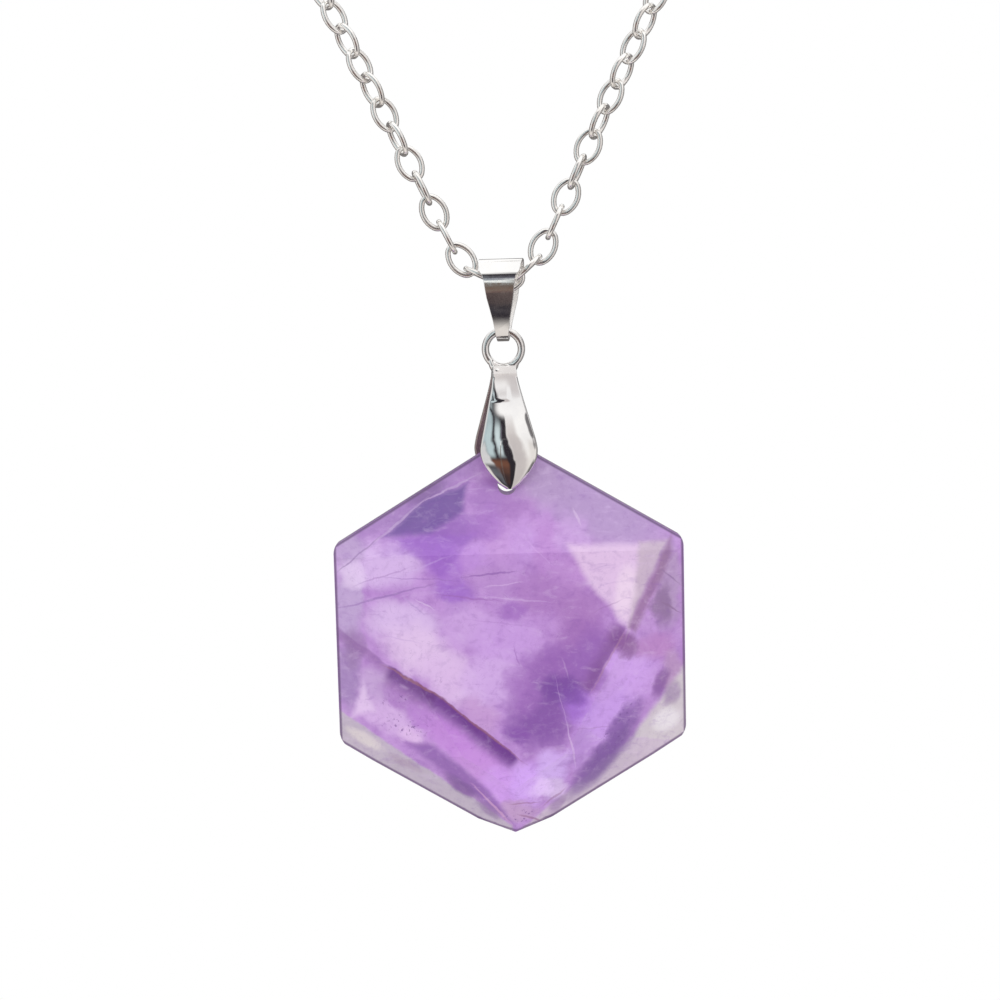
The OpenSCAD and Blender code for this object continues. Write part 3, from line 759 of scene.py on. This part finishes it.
def add_bevel(piece, width, angle):
    """Worn edges where two faces meet at more than an angle in degrees."""
    bevel = piece.modifiers.new("worn_edges", "BEVEL")
    bevel.width = width
    bevel.segments = 3
    bevel.limit_method = "ANGLE"
    bevel.angle_limit = math.radians(angle)
    bevel.harden_normals = True


# Chain

LINK_LONG = 3.12 * MM
# How much larger the radius of a link's long sides is than that of its ends
LINK_BULGE = 1.1 * MM
# Wire of the solid's links, whose outside length is the one above
LINK_MID_WIRE = 0.4 * MM
# The wire looks this thick in the photograph, on the same line through each link
LINK_WIRE = 0.44 * MM
# The four arcs of a link meet where a triangle with sides 3, 4 and 5 puts them
LINK_END = 0.6
LINK_SIDE = 0.8
LINK_TURN = 53.13


def ring_faces(rings, sides):
    """Faces of a closed row of rings with so many points each."""
    return [
        (
            i * sides + j,
            (i + 1) % rings * sides + j,
            (i + 1) % rings * sides + (j + 1) % sides,
            i * sides + (j + 1) % sides,
        )
        for i in range(rings)
        for j in range(sides)
    ]


def link_template(steps, sides):
    """Points of one link around its middle, long along X, and its faces."""
    end_middle = LINK_BULGE * LINK_END
    side_middle = LINK_BULGE * LINK_SIDE
    end_r = (LINK_LONG - LINK_MID_WIRE) / 2 - end_middle
    side_r = end_r + LINK_BULGE
    arcs = [
        ((end_middle, 0), end_r, -LINK_TURN, LINK_TURN),
        ((0, -side_middle), side_r, LINK_TURN, 180 - LINK_TURN),
        ((-end_middle, 0), end_r, 180 - LINK_TURN, 180 + LINK_TURN),
        ((0, side_middle), side_r, 180 + LINK_TURN, 360 - LINK_TURN),
    ]
    points = []
    for (x, y), radius, start, stop in arcs:
        for turn in np.radians(np.linspace(start, stop, steps, endpoint=False)):
            out = Vector((math.cos(turn), math.sin(turn), 0))
            middle = Vector((x, y, 0)) + radius * out
            for round_turn in np.linspace(0, 2 * math.pi, sides, endpoint=False):
                wire = out * math.cos(round_turn) + Vector((0, 0, math.sin(round_turn)))
                points.append(middle + wire * LINK_WIRE / 2)
    return np.array([tuple(point) for point in points]), ring_faces(len(arcs) * steps, sides)


# Points of a mesh that round to the same step are one
POINT_STEP = 1e-6


def loose_parts(mesh):
    """Points of each loose part of a mesh, with seams closed."""
    points = np.empty(len(mesh.vertices) * 3)
    mesh.vertices.foreach_get("co", points)
    points = points.reshape(-1, 3)
    edges = np.empty(len(mesh.edges) * 2, int)
    mesh.edges.foreach_get("vertices", edges)
    rounded = np.round(points / POINT_STEP).astype(int)
    places, same = np.unique(rounded, axis=0, return_inverse=True)
    edges = same.reshape(-1)[edges].reshape(-1, 2)
    # Each point takes the lowest number among the points that it hangs together with
    label = np.arange(len(places))
    while True:
        low = np.minimum(label[edges[:, 0]], label[edges[:, 1]])
        merged = label.copy()
        np.minimum.at(merged, edges[:, 0], low)
        np.minimum.at(merged, edges[:, 1], low)
        merged = merged[merged]
        if (merged == label).all():
            break
        label = merged
    places = places * POINT_STEP
    return [places[label == part] for part in np.unique(label)]


def chain_mesh(node):
    """Smooth round links in the places of the node's own links."""
    template, faces = link_template(steps=8, sides=10)
    faces = np.array(faces)
    all_points, all_faces = [], []
    for part in loose_parts(frame["nodes"][node].data):
        middle = part.mean(axis=0)
        # The link's longest, second and third directions
        axes = np.linalg.svd(part - middle, full_matrices=False)[2]
        axes[2] = np.cross(axes[0], axes[1])
        all_faces.append(faces + len(all_points) * len(template))
        all_points.append(template @ axes + middle)
    mesh = bpy.data.meshes.new(node + "_links")
    points = np.concatenate(all_points).tolist()
    mesh.from_pydata(points, [], np.concatenate(all_faces).tolist())
    mesh.shade_smooth()
    return mesh


# Pinch bail, in millimetres from the top of its ring where it hangs

# How far the leaves and the neck turn to the right under the ring, in degrees
LEAF_TURN = 5.5
RING_R = 1.44
RING_WIRE = 0.6
RING_LOW = -2 * RING_R
LEAF_SHEET = 0.35
PEG_D = 0.8
PEG_DROP = 12.09
# The pegs' inner ends are this far from the stone's middle
PEG_IN = 0.6
# Inner faces of the leaves are darker and duller down to here, above the pegs
DULL_DOWN_TO = 11.9

# Sections down a leaf and steps across it
LEAF_ROWS = 130
LEAF_ACROSS = 36
# The leaf's rounded edge: steps, how far it starts inside the outline and how far it
# swells, as shares of the sheet
EDGE_STEPS = 3
EDGE_INSET = 0.3
EDGE_SWELL = 0.4

# Sections of a leaf: depth below the ring's middle, half width, distance of the
# inner edges from the middle of the pair, and height of the crown
LEAF_SECTIONS = [
    (2.00, 0.93, 0.28, 0.02),
    (2.90, 1.10, 0.62, 0.05),
    (3.90, 1.33, 1.02, 0.12),
    (4.35, 1.44, 1.20, 0.22),
    (5.30, 1.68, 1.55, 0.46),
    (6.30, 1.93, 1.92, 0.56),
    (7.20, 2.15, 2.18, 0.62),
    (8.10, 2.27, 2.30, 0.64),
    (8.80, 2.13, 2.37, 0.58),
    (9.70, 1.66, 2.38, 0.42),
    (10.35, 1.12, 2.39, 0.26),
    (10.80, 0.66, 2.40, 0.14),
    (11.08, 0.25, 2.42, 0.04),
]

# Tab stamped in a leaf below the neck: its rise, and from where to where it rises or
# falls at its top, at the crease below, to the left and to the right
TAB_RISE = 0.09
TAB_TOP = (2.3, 3.5)
TAB_CREASE = (4.2, 3.92)
TAB_LEFT = (-1.35, -0.85)
TAB_RIGHT = (0.5, -0.1)

FOLD_R = LEAF_SECTIONS[0][2] + LEAF_SHEET
FOLD_Z = -RING_R - LEAF_SECTIONS[0][0]
NECK_HALF = 0.95
# Sections of the neck, which widens towards the fold so that its faces run on in the
# leaves: height, half width and half thickness
NECK_SECTIONS = [
    (RING_LOW + 0.1, NECK_HALF, 0.36),
    (FOLD_Z, NECK_HALF + 0.03, FOLD_R + 0.03),
    (FOLD_Z - 0.3, NECK_HALF + 0.04, FOLD_R + 0.1),
]

# End of the ring's wire, soldered to the neck's front: middle and half sizes
KNOT_PLACE = (-0.58, -0.36, RING_LOW - 0.3)
KNOT_SIZE = (0.24, 0.2, 0.2, 1)

# Solder that runs from the ring's wire into the neck's shoulders: distance to the side,
# height, lean in degrees and half sizes
SHOULDER_SIDE = 0.93
SHOULDER_Z = RING_LOW + 0.1
SHOULDER_LEAN = 20
SHOULDER_SIZE = (0.25, 0.32, 0.64, 1)


def smooth_rows(table, count):
    """Rows of a table drawn as smooth curves through its sections."""
    table = np.array(table)
    keys = table[:, 0]
    slopes = np.gradient(table, keys, axis=0)
    rows = []
    for key in np.linspace(keys[0], keys[-1], count):
        i = min(max(np.searchsorted(keys, key) - 1, 0), len(keys) - 2)
        gap = keys[i + 1] - keys[i]
        share = (key - keys[i]) / gap
        rows.append(
            (1 + 2 * share) * (1 - share) ** 2 * table[i]
            + share * (1 - share) ** 2 * gap * slopes[i]
            + share * share * (3 - 2 * share) * table[i + 1]
            + share * share * (share - 1) * gap * slopes[i + 1]
        )
    return rows


def step(value, low, high):
    """Rises softly from 0 to 1 as the value goes from low to high."""
    share = min(max((value - low) / (high - low), 0), 1)
    return share * share * (3 - 2 * share)


def stamped(x, depth):
    """Rise of the tab below the neck, which ends in a crease."""
    rise = TAB_RISE * step(depth, *TAB_TOP) * step(depth, *TAB_CREASE)
    return rise * step(x, *TAB_LEFT) * step(x, *TAB_RIGHT)


def leaf_mesh(face):
    """One leaf with a rounded edge; face is 1 for the front leaf and -1 for the rear."""
    rows = smooth_rows(LEAF_SECTIONS, LEAF_ROWS)
    spread = [2 * k / LEAF_ACROSS - 1 for k in range(LEAF_ACROSS + 1)]
    turns = [math.pi * k / (EDGE_STEPS + 1) for k in range(1, EDGE_STEPS + 1)]
    points = []
    for depth, half, inner, crown in rows:
        half = half - LEAF_SHEET * EDGE_INSET
        under = [(half * share, inner + crown * (1 - share * share)) for share in spread]
        ring = [(x, y + LEAF_SHEET + stamped(x * face, depth)) for x, y in under]
        for turn in turns:
            reach = half + LEAF_SHEET * EDGE_SWELL * math.sin(turn)
            ring.append((reach, inner + LEAF_SHEET * (1 + math.cos(turn)) / 2))
        ring += under[::-1]
        for turn in turns:
            reach = half + LEAF_SHEET * EDGE_SWELL * math.sin(turn)
            ring.append((-reach, inner + LEAF_SHEET * (1 - math.cos(turn)) / 2))
        points += [(x, -face * y, -RING_R - depth) for x, y in ring]
    count = len(ring)
    faces = []
    for i in range(len(rows) - 1):
        for j in range(count):
            here, beside = i * count + j, i * count + (j + 1) % count
            faces.append((here, beside, beside + count, here + count))
    faces.append(list(range(count))[::-1])
    faces.append([(len(rows) - 1) * count + j for j in range(count)])
    if face > 0:
        faces = [list(corners)[::-1] for corners in faces]
    return points, faces


def joined_mesh(name, parts):
    """One mesh of several lists of points in millimetres and faces, each with a matrix."""
    points, faces = [], []
    for part_points, part_faces, matrix in parts:
        faces += [[i + len(points) for i in corners] for corners in part_faces]
        points += [matrix @ (Vector(point) * MM) for point in part_points]
    mesh = bpy.data.meshes.new(name)
    mesh.from_pydata(points, [], faces)
    mesh.update()
    work = bmesh.new()
    work.from_mesh(mesh)
    bmesh.ops.recalc_face_normals(work, faces=work.faces)
    work.to_mesh(mesh)
    work.free()
    return mesh


def solid(make, matrix):
    """Points in millimetres and faces of the closed shape that a function makes."""
    work = bmesh.new()
    make(work)
    work.transform(matrix)
    points = [tuple(vertex.co) for vertex in work.verts]
    faces = [[vertex.index for vertex in face.verts] for face in work.faces]
    work.free()
    return points, faces


def torus(radius, wire, steps=96, sides=24):
    """Ring of round wire that stands upright and faces the front."""
    points = []
    for i in range(steps):
        turn = 2 * math.pi * i / steps
        for j in range(sides):
            wire_turn = 2 * math.pi * j / sides
            reach = radius + wire / 2 * math.cos(wire_turn)
            thick = wire / 2 * math.sin(wire_turn)
            points.append((reach * math.cos(turn), thick, reach * math.sin(turn)))
    return points, ring_faces(steps, sides)


def ball(matrix):
    """Ball of radius one, moved and stretched by the matrix."""
    return solid(
        lambda work: bmesh.ops.create_uvsphere(work, u_segments=24, v_segments=16, radius=1),
        matrix,
    )


def neck_mesh():
    """Neck between the ring and the leaves, with four sides."""
    points = []
    for z, half_wide, half_thick in NECK_SECTIONS:
        for x, y in ((-1, -1), (1, -1), (1, 1), (-1, 1)):
            points.append((x * half_wide, y * half_thick, z))
    faces = []
    for i in range(len(NECK_SECTIONS) - 1):
        for j in range(4):
            here, beside = 4 * i + j, 4 * i + (j + 1) % 4
            faces.append((here, beside, beside + 4, here + 4))
    return points, [*faces, (0, 1, 2, 3), (11, 10, 9, 8)]


def add_leaves(turned, material, inside_material):
    """Both leaves and the pegs that enter the stone's hole, as one piece."""
    parts = [(*leaf_mesh(face), turned) for face in (1, -1)]
    peg_from = LEAF_SECTIONS[-1][2] + LEAF_SHEET / 2
    length = peg_from - PEG_IN
    upright = Matrix.Rotation(math.radians(90), 4, "X")
    for face in (1, -1):
        middle = -face * (peg_from + PEG_IN) / 2
        peg = solid(
            lambda work: bmesh.ops.create_cone(
                work, cap_ends=True, segments=24, radius1=PEG_D / 2, radius2=PEG_D / 2, depth=length
            ),
            Matrix.Translation((0, middle, -PEG_DROP)) @ upright,
        )
        parts.append((*peg, turned))
    mesh = joined_mesh("leaves", parts)
    mesh.shade_smooth()
    mesh.set_sharp_from_angle(angle=math.radians(50))
    leaves = add_piece("pinch_bail_leaves", mesh, material, "pinch_bail", "drop")
    back = turned.inverted()

    def faces_middle(middle, normal):
        here = back @ middle
        facing = back.to_3x3() @ normal
        return abs(facing.y) > 0.5 and facing.y * here.y < 0 and here.z > -DULL_DOWN_TO * MM

    dull_inside(leaves, inside_material, faces_middle)


def add_head(drop, turned, material):
    """Ring, neck and solder, flowed together into one piece."""
    parts = [
        (*torus(RING_R, RING_WIRE), drop @ Matrix.Translation((0, 0, -RING_R * MM))),
        (*neck_mesh(), turned),
        (*ball(Matrix.Translation(KNOT_PLACE) @ Matrix.Diagonal(KNOT_SIZE)), turned),
    ]
    for side in (-1, 1):
        place = Matrix.Translation((side * SHOULDER_SIDE, 0, SHOULDER_Z))
        lean = Matrix.Rotation(math.radians(side * SHOULDER_LEAN), 4, "Y")
        parts.append((*ball(place @ lean @ Matrix.Diagonal(SHOULDER_SIZE)), turned))
    mesh = joined_mesh("bail_head", parts)
    piece = add_piece("pinch_bail_head", mesh, material, "pinch_bail", "drop")
    remesh = piece.modifiers.new("solder", "REMESH")
    remesh.mode = "VOXEL"
    remesh.voxel_size = 0.035 * MM
    remesh.use_smooth_shade = True
    relax = piece.modifiers.new("polish", "SMOOTH")
    relax.factor = 0.5
    relax.iterations = 8


# The whole scene

add_camera()
add_world()
for lamp in LAMPS:
    add_light(*lamp)
add_floor()

bail_silver = silver_material("bail_silver", (242, 240, 238), (228, 226, 226), 0.04, 0.1)
ring_silver = silver_material(
    "ring_silver", (248, 246, 244), (236, 234, 232), 0.05, 0.11, metal=0.94
)
chain_silver = silver_material(
    "chain_silver", (255, 253, 250), (244, 241, 237), 0.06, 0.14, metal=0.92
)
band_silver = silver_material(
    "band_silver", (250, 249, 247), (240, 239, 238), 0.04, 0.1, (BAND_SWELL_TOP, BAND_SWELL)
)
band_inside = silver_material(
    "band_inside", (248, 246, 244), (238, 235, 232), 0.35, 0.45, metal=0.1
)
# Darker, duller silver for the leaves' faces that turn to the stone
leaf_inside = silver_material(
    "leaf_inside", (160, 142, 140), (136, 118, 114), 0.4, 0.55, metal=0.45
)

stone_mesh = clean_copy("crystal", "stone", 12)
round_corners(stone_mesh, CORNER_RADIUS)
stone = add_piece("crystal_stone", stone_mesh, crystal_material(), "crystal", "drop")
add_bevel(stone, 0.16 * MM, 14)

band_mesh = clean_copy("band_bail", "band", 35)
band = add_piece("band", band_mesh, band_silver, "band_bail", "bail")
band_middle = (Vector(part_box("band_bail")[0]) + Vector(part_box("band_bail")[1])) / 2
dull_inside(
    band,
    band_inside,
    lambda middle, normal: abs(normal.x) < 0.5 and normal.dot(band_middle - middle) > 0,
)
add_bevel(band, 0.04 * MM, 40)

drop_place = Matrix.Translation(RING_TOP) @ Matrix.Rotation(math.radians(DROP_LEAN), 4, "X")
leaf_place = drop_place @ Matrix.Rotation(math.radians(LEAF_TURN), 4, "Z")
add_leaves(leaf_place, bail_silver, leaf_inside)
add_head(drop_place, leaf_place, ring_silver)

for chain_node in ("chain_left", "chain_right"):
    mesh = chain_mesh(chain_node)
    add_piece(chain_node + "_smooth", mesh, chain_silver, chain_node, "chain")
# The plain clasp keeps its solid's shape
for slot in frame["nodes"]["clasp"].material_slots:
    slot.material = chain_silver

bpy.context.scene.view_settings.view_transform = "Standard"
